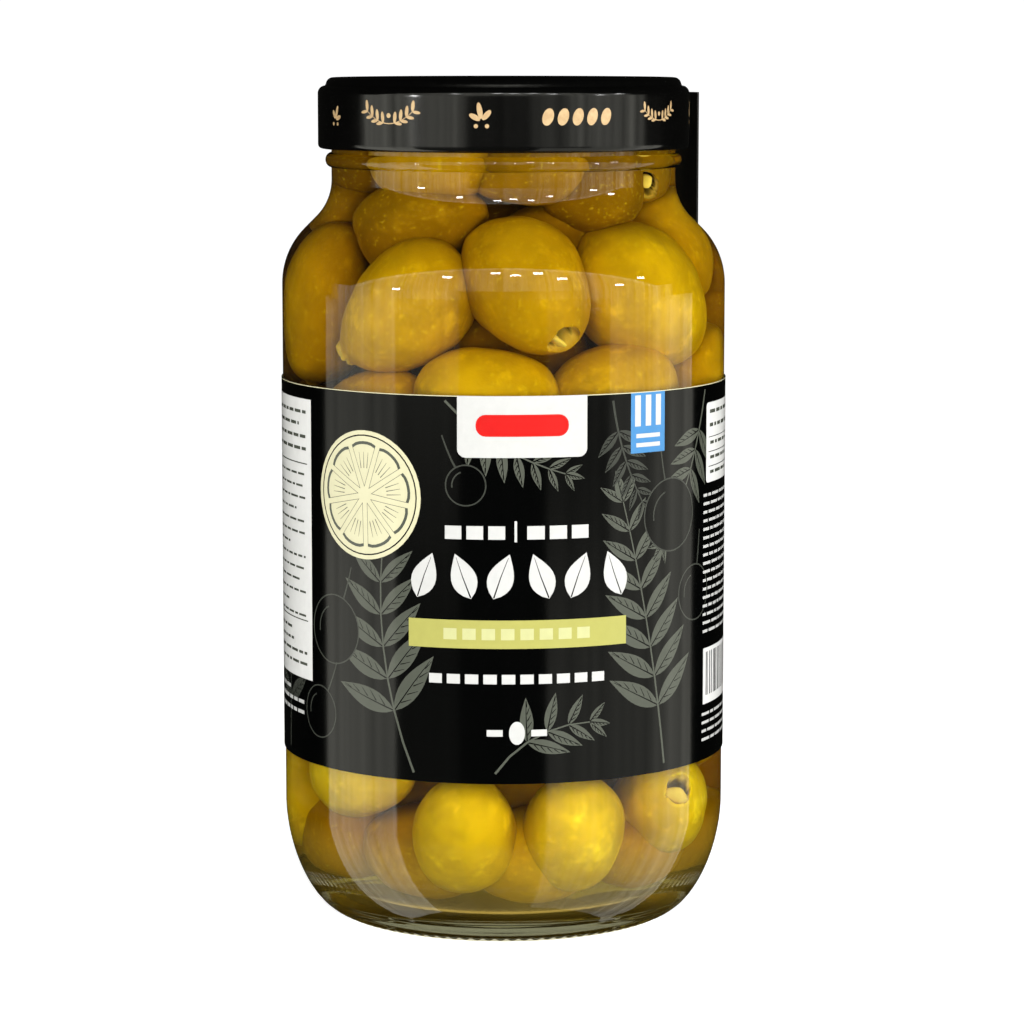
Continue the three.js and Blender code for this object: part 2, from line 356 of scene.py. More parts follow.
def make_object(name, points, faces, materials, face_materials=None, sharp=35.0):
    mesh = bpy.data.meshes.new(name)
    mesh.from_pydata([tuple(p) for p in points], [], [tuple(f) for f in faces])
    for material in materials:
        mesh.materials.append(material)
    if face_materials is not None:
        mesh.polygons.foreach_set("material_index", face_materials)
    mesh.polygons.foreach_set("use_smooth", [True] * len(mesh.polygons))
    mesh.set_sharp_from_angle(angle=math.radians(sharp))
    mesh.update()
    made = bpy.data.objects.new(name, mesh)
    bpy.context.scene.collection.objects.link(made)
    return made


def turned(name, outline, steps, materials, material_of=None, ripple=None):
    """Turns points (radius, height) round Z. Ends on the axis become poles."""
    points, rows, faces, looks = [], [], [], []
    for index, (radius, height) in enumerate(outline):
        around = steps if radius > 0 else 1
        rows.append([len(points) + step % around for step in range(steps + 1)])
        for step in range(around):
            turn = 2 * math.pi * step / steps
            level = height + (ripple(index, turn) if ripple else 0.0)
            points.append((radius * math.sin(turn) * MM, -radius * math.cos(turn) * MM, level * MM))
    for index, (low, high) in enumerate(zip(rows, rows[1:])):
        for step in range(steps):
            corners = (low[step], low[step + 1], high[step + 1], high[step])
            faces.append(tuple(dict.fromkeys(corners)))
            looks.append(material_of(index) if material_of else 0)
    return make_object(name, points, faces, materials, looks)


def closed_sheet(name, columns, rows, point_at, materials):
    """
    A closed sheet: point_at(u, v, side) gives a point in mm on its back or its front. Its back has the
    last of the materials, and all else the first.
    """
    across, up = columns + 1, rows + 1
    points = [
        tuple(value * MM for value in point_at(i / columns, j / rows, side))
        for side in (0, 1) for j in range(up) for i in range(across)
    ]
    faces, backs = [], []

    def quad(*corners):
        faces.append([side * across * up + j * across + i for i, j, side in corners])

    for j in range(rows):
        for i in range(columns):
            backs.append(len(faces))
            quad((i, j, 0), (i, j + 1, 0), (i + 1, j + 1, 0), (i + 1, j, 0))
            quad((i, j, 1), (i + 1, j, 1), (i + 1, j + 1, 1), (i, j + 1, 1))
        quad((0, j, 0), (0, j, 1), (0, j + 1, 1), (0, j + 1, 0))
        quad((columns, j, 1), (columns, j, 0), (columns, j + 1, 0), (columns, j + 1, 1))
    for i in range(columns):
        quad((i, 0, 0), (i + 1, 0, 0), (i + 1, 0, 1), (i, 0, 1))
        quad((i, rows, 1), (i + 1, rows, 1), (i + 1, rows, 0), (i, rows, 0))
    looks = np.zeros(len(faces), int)
    looks[backs] = len(materials) - 1
    return make_object(name, points, faces, materials, looks.tolist())


# The glass and the brine

def arc(centre_radius, centre_height, reach, start, end, steps):
    """Points on an arc, with its angles in degrees from straight out, upwards."""
    turns = [math.radians(mix(start, end, i / steps)) for i in range(steps + 1)]
    return [(centre_radius + reach * math.cos(t), centre_height + reach * math.sin(t)) for t in turns]


def heel_curve(from_radius, to_radius, from_height, to_height, steps):
    points = []
    for i in range(steps + 1):
        turn = math.pi / 2 * i / steps
        out = math.sin(turn) ** (2 / HEEL_OUT)
        up = 1 - max(0.0, math.cos(turn)) ** (2 / HEEL_UP)
        points.append((mix(from_radius, to_radius, out), mix(from_height, to_height, up)))
    return points


def shoulder_curve(inside, steps):
    """The round shoulder, and the fillet that leads up to the neck."""
    turn = math.radians(SHOULDER_TURN)
    centre = BODY_RADIUS - SHOULDER_RADIUS
    fillet_centre = NECK_RADIUS + NECK_FILLET
    gap = centre - fillet_centre + (SHOULDER_RADIUS + NECK_FILLET) * math.cos(turn)
    fillet_top = SHOULDER_BOTTOM + (SHOULDER_RADIUS + NECK_FILLET) * math.sin(turn) + gap / math.tan(turn)
    return [
        *arc(centre, SHOULDER_BOTTOM, SHOULDER_RADIUS - inside, 0, SHOULDER_TURN, steps),
        *arc(fillet_centre, fillet_top, NECK_FILLET + inside, 180 + SHOULDER_TURN, 180, steps),
    ]


def cavity_outline(into_wall=0.0, top=MOUTH_HEIGHT - LIP_ROUND):
    inside = WALL - into_wall
    return [
        (0.0, FLOOR_HEIGHT + FLOOR_RISE - into_wall),
        *heel_curve(
            FOOT_RADIUS * 0.7, BODY_RADIUS - inside,
            FLOOR_HEIGHT - into_wall, HEEL_HEIGHT + WALL, 24,
        ),
        (BODY_RADIUS - inside, HEEL_HEIGHT + WALL + EDGE_STEP),
        (BODY_RADIUS - inside, SHOULDER_BOTTOM - EDGE_STEP),
        *shoulder_curve(inside, 12),
        (NECK_RADIUS - inside, top - 3),
        (NECK_RADIUS - inside, top),
    ]


def ridged(radius, height):
    """A point of the heel with the shallow mould ridges that run round the foot."""
    share = smooth(height, 0.2, 0.8) * smooth(height, RIDGE_TOP, RIDGE_TOP - 2)
    return (radius + share * RIDGE_DEPTH * math.sin(2 * math.pi * height / RIDGE_PITCH), height)


def glass_outline():
    turns = [math.pi * (i / 10 - 0.5) for i in range(11)]
    outer = [
        (0.0, PUNT_HEIGHT),
        (FOOT_RADIUS - FOOT_WIDTH - PUNT_HEIGHT, PUNT_HEIGHT),
        (FOOT_RADIUS - FOOT_WIDTH - 0.7, 0.5),
        (FOOT_RADIUS - FOOT_WIDTH, 0.0),
        *[ridged(*point) for point in heel_curve(FOOT_RADIUS, BODY_RADIUS, 0.0, HEEL_HEIGHT, 56)],
        (BODY_RADIUS, HEEL_HEIGHT + EDGE_STEP),
        (BODY_RADIUS, SHOULDER_BOTTOM - EDGE_STEP),
        *shoulder_curve(0.0, 14),
        *[(NECK_RADIUS + BEAD_REACH * math.cos(t), BEAD_HEIGHT + BEAD_HALF * math.sin(t)) for t in turns],
        (NECK_RADIUS, MOUTH_HEIGHT - LIP_ROUND),
        (NECK_RADIUS - LIP_ROUND / 2, MOUTH_HEIGHT),
        (NECK_RADIUS - WALL + LIP_ROUND / 2, MOUTH_HEIGHT),
    ]
    return outer, cavity_outline()[::-1]


def glass_piece():
    outer, inner = glass_outline()
    outline = outer + inner

    def ripple(index, turn):
        height = outline[index][1]
        if index < 3 or height > KNURL_HEIGHT:
            return 0.0
        return KNURL_DEPTH * (0.5 + 0.5 * math.sin(KNURLS * turn)) ** 2 * (1 - height / KNURL_HEIGHT)

    skins = [
        glass_material("glass_outer", 1.5, (0.975, 0.99, 0.97, 1.0), True),
        glass_material("glass_inner", 1.12, WHITE, False),
    ]
    made = turned("glass", outline, KNURLS * 6, skins, lambda index: int(index >= len(outer) - 1), ripple)
    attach(made, "root")
    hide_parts("jar_glass")


def brine_piece():
    outline = [*cavity_outline(BRINE_INTO_WALL, BRINE_LEVEL), (0.0, BRINE_LEVEL)]
    made = turned("brine_fill", outline, 180, [brine_material()])
    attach(made, "root")


# The olives

# Rows as in the solids: azimuth from the front towards +X in degrees, height in mm, tilt of the long
# axis towards +X, lean of its upper end outwards, inset from the glass in mm, size, tint from 0 to 1,
# and the mark at its lower end: 0 plain, 1 a small tip, 2 a pit hole, 3 a torn pit hole, 4 a torn tip,
# 5 a pit hole nearly closed by torn flesh. The tint is partly the olive's own and partly painted shade:
# low tints darken the olives high under the shoulder and those set in, the low front ones get the highest.
FRONT_OLIVES = [
    (-78, 150, 10, 0, 0, 1.0, 0.3, 1),
    (-34, 152, 54, -8, 0, 1.0, 0.53, 4),
    (8, 158, -34, -36, 0, 1.0, 0.35, 3),
    (54, 154, -56, 0, 0, 1.1, 0.65, 0),
    (-5, 132, -80, 6, 0, 0.98, 0.58, 1),
    (38, 132, 76, 6, 0, 0.98, 0.5, 1),
    (84, 132, 15, 0, 0, 0.95, 0.5, 0),
    (-46, 126, 70, 0, 2, 0.92, 0.4, 0),
    (-41, 171, 80, 0, 2, 0.98, 0.06, 0),
    (42, 165, 66, 10, 15, 0.9, 0.12, 0),
    (92, 166, 40, 0, 0, 0.9, 0.57, 0),
    (-98, 170, 60, 0, 0, 0.88, 0.1, 0),
    (14, 187, 86, 0, 2, 0.85, 0.1, 0),
    (-85, 189, 80, 0, 1, 0.85, 0.0, 1),
    (75, 186, 62, -44, 0, 0.85, 0.05, 3),
    (-93, 31, 10, 0, 0, 0.92, 1.0, 0),
    (-51, 40, 75, 0, 0, 0.9, 0.97, 0),
    (-13, 27, 6, 32, 0, 0.9, 0.82, 1),
    (24, 27, -6, 34, 0, 0.9, 0.88, 1),
    (66, 29.5, 122, -47, 0, 0.94, 0.98, 5),
    (14, 20.6, 86, 0, 4, 0.92, 0.6, 0),
    (-34, 20.6, 84, 0, 5, 0.9, 0.35, 0),
    (-80, 21, 80, 0, 3, 0.86, 0.3, 0),
    (62, 20.6, -84, 0, 4, 0.86, 0.35, 0),
]

# Pit holes by their mark: radius and depth in mm, and how strongly painted shade darkens them inside
PIT_HOLES = {2: (2.6, 8.5, 1.0), 3: (3.6, 8.5, 1.0), 5: (3.5, 6.0, 0.8)}

# Tongues of torn flesh at a pit hole, by its mark: how much larger than the plain one, and the side
TORN_FLAPS = {3: (1.0, 1), 5: (1.7, -1)}

# Rings and segments of an olive's mesh, and the core behind the label as radius and height
FRONT_FINENESS = (52, 64)
BACK_FINENESS = (34, 40)
CORE_OUTLINE = [(0, 60), (34, 60), (46, 68), (46, 106), (34, 114), (0, 114)]

# Zones of the jar that further olives fill: lowest and highest middle in mm, how many, their fall at
# each step of settling, how far forward they may lie, and their tint, which paints their shade: the
# upper zone's olives behind the front ones are nearly black. Between the zones the label hides the
# heap, and the core stands for it.
ZONES = [
    (20.0, 56.0, 16, 0.10, -9.0, 0.55),
    (121.0, 190.0, 26, 0.0, -60.0, 0.06),
]
SETTLING_STEPS = 260
HEAP_BOTTOM = FLOOR_HEIGHT + FLOOR_RISE + 0.4
HEAP_TOP = 201.0


def cavity_radius(height):
    outline = cavity_outline()
    for (low_radius, low), (high_radius, high) in zip(outline, outline[1:]):
        if low <= height <= high and high > low:
            return mix(low_radius, high_radius, (height - low) / (high - low)) - OLIVE_GAP
    return 0.0


CAVITY_STEP = 0.25
CAVITY_TABLE = np.array([cavity_radius(i * CAVITY_STEP) for i in range(int(210 / CAVITY_STEP))])


def cavity_radii(heights):
    index = np.clip(heights / CAVITY_STEP, 0, len(CAVITY_TABLE) - 1).astype(int)
    return CAVITY_TABLE[index]


def turn_matrix(axis, degrees):
    angle = math.radians(degrees)
    c, s = math.cos(angle), math.sin(angle)
    if axis == "X":
        return np.array([[1, 0, 0], [0, c, -s], [0, s, c]])
    if axis == "Y":
        return np.array([[c, 0, s], [0, 1, 0], [-s, 0, c]])
    return np.array([[c, -s, 0], [s, c, 0], [0, 0, 1]])


def ball_grid(rings, segments):
    """For each point of a ball, from its top: the share of the way down, and the turn round the axis."""
    return [
        (ring / rings, 2 * math.pi * step / segments)
        for ring in range(rings + 1) for step in range(segments if 0 < ring < rings else 1)
    ]


def ball_faces(rings, segments):
    def at(ring, step):
        if ring in (0, rings):
            return 0 if ring == 0 else 1 + (rings - 1) * segments
        return 1 + (ring - 1) * segments + step % segments

    faces = []
    for ring in range(rings):
        for step in range(segments):
            corners = [at(ring, step), at(ring + 1, step), at(ring + 1, step + 1), at(ring, step + 1)]
            faces.append(tuple(dict.fromkeys(corners)))
    return faces


def olive_shape(size, mark, seed, rings, segments):
    """Points, faces and flesh values of one olive, its long axis along Z and its mark at the bottom. Flesh
    values above 1 paint the shade deep in a pit hole.
    """
    half_length = OLIVE_LENGTH * size / 2
    half_width = OLIVE_WIDTH * size / 2
    rng = random.Random(seed)
    offset = Vector((rng.uniform(-50, 50), rng.uniform(-50, 50), rng.uniform(-50, 50)))
    egg = rng.uniform(-0.05, 0.07)
    hole, deep, dark = PIT_HOLES.get(mark, (0, 0, 0))
    points, flesh_and_pit_shade = [], []
    for share, turn in ball_grid(rings, segments):
        polar = math.pi * share - 0.16 * math.sin(2 * math.pi * share)
        radius = half_width * math.sin(polar) ** 0.94 * (1 + egg * math.cos(polar))
        point = Vector((radius * math.cos(turn), radius * math.sin(turn), half_length * math.cos(polar)))
        outward = Vector((point.x / half_width, point.y / half_width, point.z / half_length)).normalized()
        point += outward * (0.75 * noise.noise(point / 12 + offset) + 0.22 * noise.noise(point / 4 + offset))
        inside = 0.0
        from_axis = math.hypot(point.x, point.y)
        round_axis = Vector((math.cos(turn), math.sin(turn), seed))
        below = math.pi - polar
        if mark in (0, 1) and share:
            point.z -= (1.1 if mark else 0.35) * math.exp(-((below / 0.13) ** 2))
            point.z += (0.5 if mark else 0.9) * math.exp(-(((below - 0.24) / 0.10) ** 2))
            inside = 0.6 * math.exp(-((below / 0.14) ** 2)) * mark
        if mark == 4 and share > 0.5:
            edge = 3.3 * (1 + 0.5 * noise.noise(round_axis * 1.6))
            inside = 1 - smooth(from_axis, edge - 0.5, edge + 0.2)
            point.z -= inside * (1.1 + 1.2 * noise.noise(point / 1.6 + offset))
        if hole and share > 0.5:
            edge = hole * (1 + 0.22 * noise.noise(round_axis * 1.4))
            inside = 1 - smooth(from_axis, edge - 0.7, edge + 0.3)
            point.z += inside * (deep + 1.5 * noise.noise(point / 2 + offset))
            point.z -= 0.5 * math.exp(-(((from_axis - edge - 0.8) / 0.8) ** 2))
            # Deep in a hole the value goes on towards 2, a painted shade.
            inside = min(1.0, inside * 5) + dark * smooth(inside, 0.1, 0.5)
        points.append(point)
        flesh_and_pit_shade.append(inside)
    return points, ball_faces(rings, segments), flesh_and_pit_shade


def torn_flap(size, seed, grown, side):
    """A small torn tongue of flesh that hangs at the edge of a pit hole."""
    rng = random.Random(seed)
    half_length = OLIVE_LENGTH * size / 2
    rings, segments = 10, 12
    points = []
    for share, turn in ball_grid(rings, segments):
        wide = 2.2 * grown * math.sin(math.pi * share) ** 0.7
        thick = 0.9 * grown * math.sin(math.pi * share) ** 0.5
        rough = 1 + 0.25 * noise.noise(Vector((share * 4, turn, seed)))
        points.append(Vector((
            side * (-2.2 + thick * math.cos(turn) * rough + 1.6 * share * share),
            side * (wide * math.sin(turn) * rough + rng.uniform(-0.05, 0.05)),
            -half_length + 4.2 - 5.4 * share,
        )))
    return points, ball_faces(rings, segments), [1.0] * len(points)


def seat(points, azimuth, height, tilt, lean, inset):
    """Turns an olive as its row says and moves it out until it meets the glass."""
    cloud = np.array(points)
    cloud = cloud @ turn_matrix("X", lean).T @ turn_matrix("Y", tilt).T
    limits = cavity_radii(cloud[:, 2] + height)
    near, far = 0.0, BODY_RADIUS
    for _ in range(20):
        middle = (near + far) / 2
        reach = np.hypot(cloud[:, 0], cloud[:, 1] - middle)
        if np.all(reach <= limits):
            near = middle
        else:
            far = middle
    cloud = cloud + np.array([0, inset - near, height])
    return cloud @ turn_matrix("Z", azimuth).T


def spun(axis, spin):
    """A turn that brings Z to the axis, after a spin about Z."""
    up = np.array(axis) / np.linalg.norm(axis)
    side = np.cross((0.0, 0.0, 1.0) if abs(up[2]) < 0.9 else (1.0, 0.0, 0.0), up)
    side /= np.linalg.norm(side)
    return np.column_stack((side, np.cross(up, side), up)) @ turn_matrix("Z", spin)


def settled(fixed, low, high, count, fall, foremost, rng):
    """
    Drops olives into a zone and pushes them apart until they lie round the fixed ones. Each olive is
    three balls in a row: its middle, its axis and its size give (middle, axis, size).
    """
    middles, axes, sizes = map(list, zip(*fixed))
    for i in range(count):
        turn = 2 * math.pi * (i * 0.381966 + rng.uniform(-0.05, 0.05))
        reach = 38 * math.sqrt((i + 0.5) / count)
        middles.append((
            reach * math.sin(turn), -reach * math.cos(turn) + 4, mix(low, high, rng.random()),
        ))
        axes.append((rng.uniform(-1, 1), rng.uniform(-1, 1), rng.uniform(-0.8, 0.8)))
        sizes.append(rng.uniform(0.84, 0.97))
    middles, axes, sizes = np.array(middles), np.array(axes), np.array(sizes)
    axes /= np.linalg.norm(axes, axis=1)[:, None]
    free = (np.arange(len(middles)) >= len(fixed)).astype(float)
    reach = OLIVE_WIDTH / 2 * sizes * 0.97
    arm = OLIVE_LENGTH / 2 * sizes - reach
    owner = np.repeat(np.arange(len(middles)), 3)
    radii = np.repeat(reach, 3)
    weight = free[owner][:, None]
    for _ in range(SETTLING_STEPS):
        balls = (middles[:, None] + axes[:, None] * arm[:, None, None] * np.array([-1, 0, 1])[:, None])
        balls = balls.reshape(-1, 3)
        apart = balls[:, None] - balls[None]
        distance = np.linalg.norm(apart, axis=2) + 1e-6
        overlap = np.maximum(radii[:, None] + radii[None] - distance, 0.0)
        overlap[owner[:, None] == owner[None]] = 0.0
        push = (apart / distance[..., None] * overlap[..., None]).sum(axis=1) * 0.35 * weight
        moved = balls + push
        across = np.hypot(moved[:, 0], moved[:, 1]) + 1e-6
        outside = np.maximum(across + radii - cavity_radii(moved[:, 2]), 0.0)
        push[:, :2] -= moved[:, :2] / across[:, None] * outside[:, None] * weight
        push[:, 2] += np.maximum(HEAP_BOTTOM + radii - moved[:, 2], 0.0) * weight[:, 0]
        push[:, 2] -= np.maximum(moved[:, 2] + radii - HEAP_TOP, 0.0) * weight[:, 0]
        push = push.reshape(-1, 3, 3)
        middles += push.mean(axis=1)
        middles[:, 1] = np.where(free > 0, np.maximum(middles[:, 1], foremost), middles[:, 1])
        middles[:, 2] = np.where(free > 0, np.clip(middles[:, 2] - fall, low - 2, high + 3), middles[:, 2])
        axes += (push[:, 2] - push[:, 0]) / (2 * arm[:, None]) * 0.6
        axes /= np.linalg.norm(axes, axis=1)[:, None]
    return list(zip(middles, axes, sizes))[len(fixed):]


def drawn_in(cloud):
    """Moves an olive towards the jar's axis until none of its points is in the glass."""
    for _ in range(12):
        over = (np.hypot(cloud[:, 0], cloud[:, 1]) - cavity_radii(cloud[:, 2])).max()
        if over <= 0:
            break
        middle = cloud[:, :2].mean(axis=0)
        cloud = cloud - np.append(middle / np.linalg.norm(middle) * (over + 0.1), 0.0)
    return cloud


def joined_olives(name, olives, material):
    """One piece of many olives: each is (points in mm, faces, flesh with painted pit shade, tint with
    painted shade).
    """
    points, faces, flesh_and_pit_shade, tint_and_shade_values = [], [], [], []
    for cloud, corners, meat, tint_and_shade in olives:
        start = len(points)
        points.extend(cloud * MM)
        faces.extend(tuple(start + corner for corner in face) for face in corners)
        flesh_and_pit_shade.extend(meat)
        tint_and_shade_values.extend([tint_and_shade] * len(cloud))
    made = make_object(name, points, faces, [material], sharp=60.0)
    for attribute, values in (("tint_and_shade", tint_and_shade_values), ("flesh_and_pit_shade", flesh_and_pit_shade)):
        layer = made.data.attributes.new(attribute, "FLOAT", "POINT")
        layer.data.foreach_set("value", np.array(values, np.float32))
    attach(made, "root")
    return made


def front_olives():
    """The olives that show most, each at its own place. Gives their meshes, and their places."""
    shapes, places = [], []
    for number, (azimuth, height, tilt, lean, inset, size, tint_and_shade, mark) in enumerate(FRONT_OLIVES):
        seed = 100 + number
        parts = [olive_shape(size, mark, seed, *FRONT_FINENESS)]
        if mark in TORN_FLAPS:
            parts.append(torn_flap(size, seed, *TORN_FLAPS[mark]))
        placed = seat(sum((part[0] for part in parts), []), azimuth, height, tilt, lean, inset)
        start = 0
        for cloud, corners, meat in parts:
            shapes.append((placed[start:start + len(cloud)], corners, meat, tint_and_shade))
            start += len(cloud)
        axis = turn_matrix("Z", azimuth) @ turn_matrix("Y", tilt) @ turn_matrix("X", lean) @ (0, 0, 1)
        places.append((placed[:len(parts[0][0])].mean(axis=0), axis, size))
    return shapes, places


def heap_pieces():
    skin = olive_material()
    shapes, places = front_olives()
    front = joined_olives("olives_front", shapes, skin)
    rng = random.Random(7)
    further = []
    for low, high, count, fall, foremost, tint_and_shade in ZONES:
        near = [place for place in places if low - 30 < place[0][2] < high + 30]
        for middle, axis, size in settled(near, low, high, count, fall, foremost, rng):
            mark, seed = rng.choice((0, 1, 0, 2)), rng.randrange(1000)
            cloud, corners, meat = olive_shape(size, mark, seed, *BACK_FINENESS)
            cloud = drawn_in(np.array(cloud) @ spun(axis, rng.uniform(0, 360)).T + middle)
            further.append((cloud, corners, meat, tint_and_shade + rng.uniform(-0.15, 0.2)))
    joined_olives("olives_back", further, skin)
    core = turned("olives_core", CORE_OUTLINE, 64, [skin])
    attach(core, "root")
    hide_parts("olives")


# The lid

def lid_outline():
    shoulder = LID_TOP - RIM_RISE
    panel = LID_TOP - PANEL_DROP
    inner = LID_RADIUS - LID_SHEET
    return [
        (0.0, panel - LID_SHEET),
        (RIM_INNER + LID_SHEET, panel - LID_SHEET),
        (RIM_INNER + LID_SHEET * 1.7, LID_TOP - LID_SHEET),
        (RIM_OUTER - LID_SHEET * 2.2, LID_TOP - LID_SHEET),
        (RIM_OUTER - LID_SHEET, shoulder - LID_SHEET),
        (inner - CORNER_RADIUS * 0.4, shoulder - LID_SHEET),
        (inner, shoulder - CORNER_RADIUS),
        (inner, LID_BOTTOM + 2 * CURL_RADIUS),
        *arc(LID_RADIUS - CURL_RADIUS, LID_BOTTOM + CURL_RADIUS, CURL_RADIUS, -240, 0, 12),
        (LID_RADIUS, LID_BOTTOM + CURL_RADIUS + EDGE_STEP),
        (LID_RADIUS, shoulder - CORNER_RADIUS - EDGE_STEP),
        *arc(LID_RADIUS - CORNER_RADIUS, shoulder - CORNER_RADIUS, CORNER_RADIUS, 0, 88, 8),
        *arc(RIM_OUTER - 1.8, LID_TOP - 1.8, 1.8, 12, 90, 7),
        *arc(RIM_INNER + 1.5, LID_TOP - 1.0, 1.0, 90, 160, 5),
        (RIM_INNER, panel),
        (RIM_INNER - 2.5, panel - 0.05),
        (12.0, panel + 0.12),
        (9.5, panel + 0.35),
        (0.0, panel + 0.45),
    ]


def lid_piece():
    made = turned("lid_shell", lid_outline(), 256, [lacquer_material()])
    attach(made, "root")
    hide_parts("lid")


# Print: flat shapes, in mm, laid on a round surface

def away(u, z, distance, turn):
    """The point at a distance from (u, z), by the turn in radians from +u towards +z."""
    return (u + distance * math.cos(turn), z + distance * math.sin(turn))


def ellipse(u, z, half_u, half_z, turn=0.0, steps=28):
    c, s = math.cos(math.radians(turn)), math.sin(math.radians(turn))
    points = []
    for i in range(steps):
        angle = 2 * math.pi * i / steps
        x, y = half_u * math.cos(angle), half_z * math.sin(angle)
        points.append((u + x * c - y * s, z + x * s + y * c))
    return points


def rectangle(left, bottom, right, top, round_low=0.0, round_high=0.0):
    points = []
    for x, y, reach, start in (
        (right, bottom, round_low, -90), (right, top, round_high, 0),
        (left, top, round_high, 90), (left, bottom, round_low, 180),
    ):
        if reach <= 0:
            points.append((x, y))
            continue
        middle_x = x - reach if x == right else x + reach
        middle_y = y + reach if y == bottom else y - reach
        for i in range(6):
            points.append(away(middle_x, middle_y, reach, math.radians(start + 90 * i / 5)))
    return points


def stroke(line, width, taper=0.0):
    """A line of points as a thin closed outline, thinner towards its end by taper."""
    left, right = [], []
    for i, (x, y) in enumerate(line):
        before, after = line[max(0, i - 1)], line[min(len(line) - 1, i + 1)]
        dx, dy = after[0] - before[0], after[1] - before[1]
        size = math.hypot(dx, dy) or 1.0
        half = width / 2 * (1 - taper * i / (len(line) - 1))
        left.append((x - dy / size * half, y + dx / size * half))
        right.append((x + dy / size * half, y - dx / size * half))
    return right + left[::-1]


def covers(outline, points):
    """Which of the points lie inside the outline, by winding number, so crossed outlines work too."""
    winding = np.zeros(len(points), int)
    x, y = points[:, 0], points[:, 1]
    for (x0, y0), (x1, y1) in zip(outline, outline[1:] + outline[:1]):
        left_of = (x1 - x0) * (y - y0) - (x - x0) * (y1 - y0)
        winding += ((y0 <= y) & (y1 > y) & (left_of > 0)).astype(int)
        winding -= ((y0 > y) & (y1 <= y) & (left_of < 0)).astype(int)
    return winding != 0


def wrapped_print(name, shapes, radius, lift, column, materials):
    """
    Lays flat shapes, (outline, ink), as thin closed ink on a round wall. Later shapes lie on top, and
    the ink NONE takes away what is under it. Upright lines between columns let the ink follow the curve.
    """
    verts, edges = [], []
    for outline, _ in shapes:
        start = len(verts)
        verts.extend(Vector(p) for p in outline)
        count = len(outline)
        edges.extend((start + i, start + (i + 1) % count) for i in range(count))
    low = Vector((min(v.x for v in verts) - 1, min(v.y for v in verts) - 1))
    high = Vector((max(v.x for v in verts) + 1, max(v.y for v in verts) + 1))
    for i in range(int((high.x - low.x) / column) + 2):
        x = low.x + i * column + 0.0137
        edges.append((len(verts), len(verts) + 1))
        verts.extend((Vector((x, low.y)), Vector((x, high.y))))
    flat, _, cells, _, _, _ = delaunay_2d_cdt(verts, edges, [], 0, 1e-5)
    flat = np.array([tuple(v) for v in flat])
    cells = np.array([tuple(cell) for cell in cells])
    centres = flat[cells].mean(axis=1)
    inks = np.full(len(cells), NONE)
    for outline, ink in shapes:
        corners = np.array(outline)
        near = np.all((centres >= corners.min(axis=0)) & (centres <= corners.max(axis=0)), axis=1)
        near = np.nonzero(near)[0]
        inks[near[covers(outline, centres[near])]] = ink
    cells, inks = cells[inks != NONE], inks[inks != NONE]
    used, cells = np.unique(cells, return_inverse=True)
    cells = cells.reshape(-1, 3)
    flat = flat[used]
    a, b, c = (flat[cells[:, i]] for i in range(3))
    turned_over = (b[:, 0] - a[:, 0]) * (c[:, 1] - a[:, 1]) < (b[:, 1] - a[:, 1]) * (c[:, 0] - a[:, 0])
    cells[turned_over] = cells[turned_over][:, ::-1]
    turns = flat[:, 0] / radius
    points = []
    for reach in (radius + lift, radius - lift):
        points.extend(zip(
            reach * np.sin(turns) * MM, -reach * np.cos(turns) * MM, flat[:, 1] * MM,
        ))
    count = len(used)
    solid, looks, sides = [], [], {}
    for (a, b, c), ink in zip(cells.tolist(), inks.tolist()):
        solid.append((a, b, c))
        solid.append((a + count, c + count, b + count))
        looks.extend([ink, ink])
        for edge in ((a, b), (b, c), (c, a)):
            sides[edge] = ink
    for (a, b), ink in sides.items():
        if (b, a) not in sides:
            solid.append((b, a, a + count, b + count))
            looks.append(ink)
    return make_object(name, points, solid, materials, looks, sharp=50.0)


NONE = -1
WHITE_INK, RED_INK, BLUE_INK, GREEN_INK, CREAM_INK = range(5)
GREY_INK, DIM_INK, BLACK_INK, LIGHT_INK, PANEL_INK = range(5, 10)


def label_inks():
    """Inks, by the colour they have on screen once the studio lights them."""
    colours = (
        ("ink_white", (237, 237, 234)),
        ("ink_red", (238, 32, 28)),
        ("ink_blue", (84, 158, 222)),
        ("ink_green", (204, 201, 110)),
        ("ink_cream", (250, 245, 203)),
        ("ink_grey", (96, 100, 89)),
        ("ink_dim", (70, 73, 66)),
        ("ink_black", (8, 8, 8)),
        ("ink_light_green", (232, 232, 168)),
    )
    inks = [paper_material(name, dimmed(linear(*colour)), 0.13) for name, colour in colours]
    return inks + [paper_material("ink_panel", (0.58, 0.58, 0.565, 1.0), 0.13)]


def dimmed(colour):
    """The paper's own colour: white paper takes its full share, so the others are set below it."""
    return tuple(PAPER_SHARE * value for value in colour[:3]) + (1.0,)


def boxes(ink, *corners):
    return [(rectangle(*row), ink) for row in corners]


def dashes(left, right, low, high, pitch, count, ink):
    """A line of equal bars: the first one's box, then the way from each to the next."""
    return [(rectangle(left + pitch * i, low, right + pitch * i, high), ink) for i in range(count)]


def leaf(u, z, length, width, turn, ink, hatches=5):
    """A pointed leaf with its foot at (u, z): a midrib, and fine strokes scratched into one half."""
    c, s = math.cos(math.radians(turn)), math.sin(math.radians(turn))

    def at(along, across):
        return (u + along * c - across * s, z + along * s + across * c)

    def edge(share):
        return width / 2 * math.sin(math.pi * share ** 0.8)

    steps = 10
    upper = [at(length * i / steps, edge(i / steps)) for i in range(1, steps + 1)]
    lower = [at(length * i / steps, -edge(i / steps)) for i in range(steps - 1, 0, -1)]
    shapes = [(upper + lower + [at(0, 0)], ink)]
    rib = [at(0.02 * length, 0), at(0.5 * length, 0.02 * width), at(0.92 * length, 0)]
    shapes.append((stroke(rib, 0.34, 0.7), NONE))
    for i in range(hatches):
        share = 0.16 + 0.62 * i / max(1, hatches - 1)
        far = min(1.0, share + 0.14)
        line = [at(length * share, -0.12 * edge(share)), at(length * far, -0.78 * edge(far))]
        shapes.append((stroke(line, 0.26, 0.6), NONE))
    return shapes


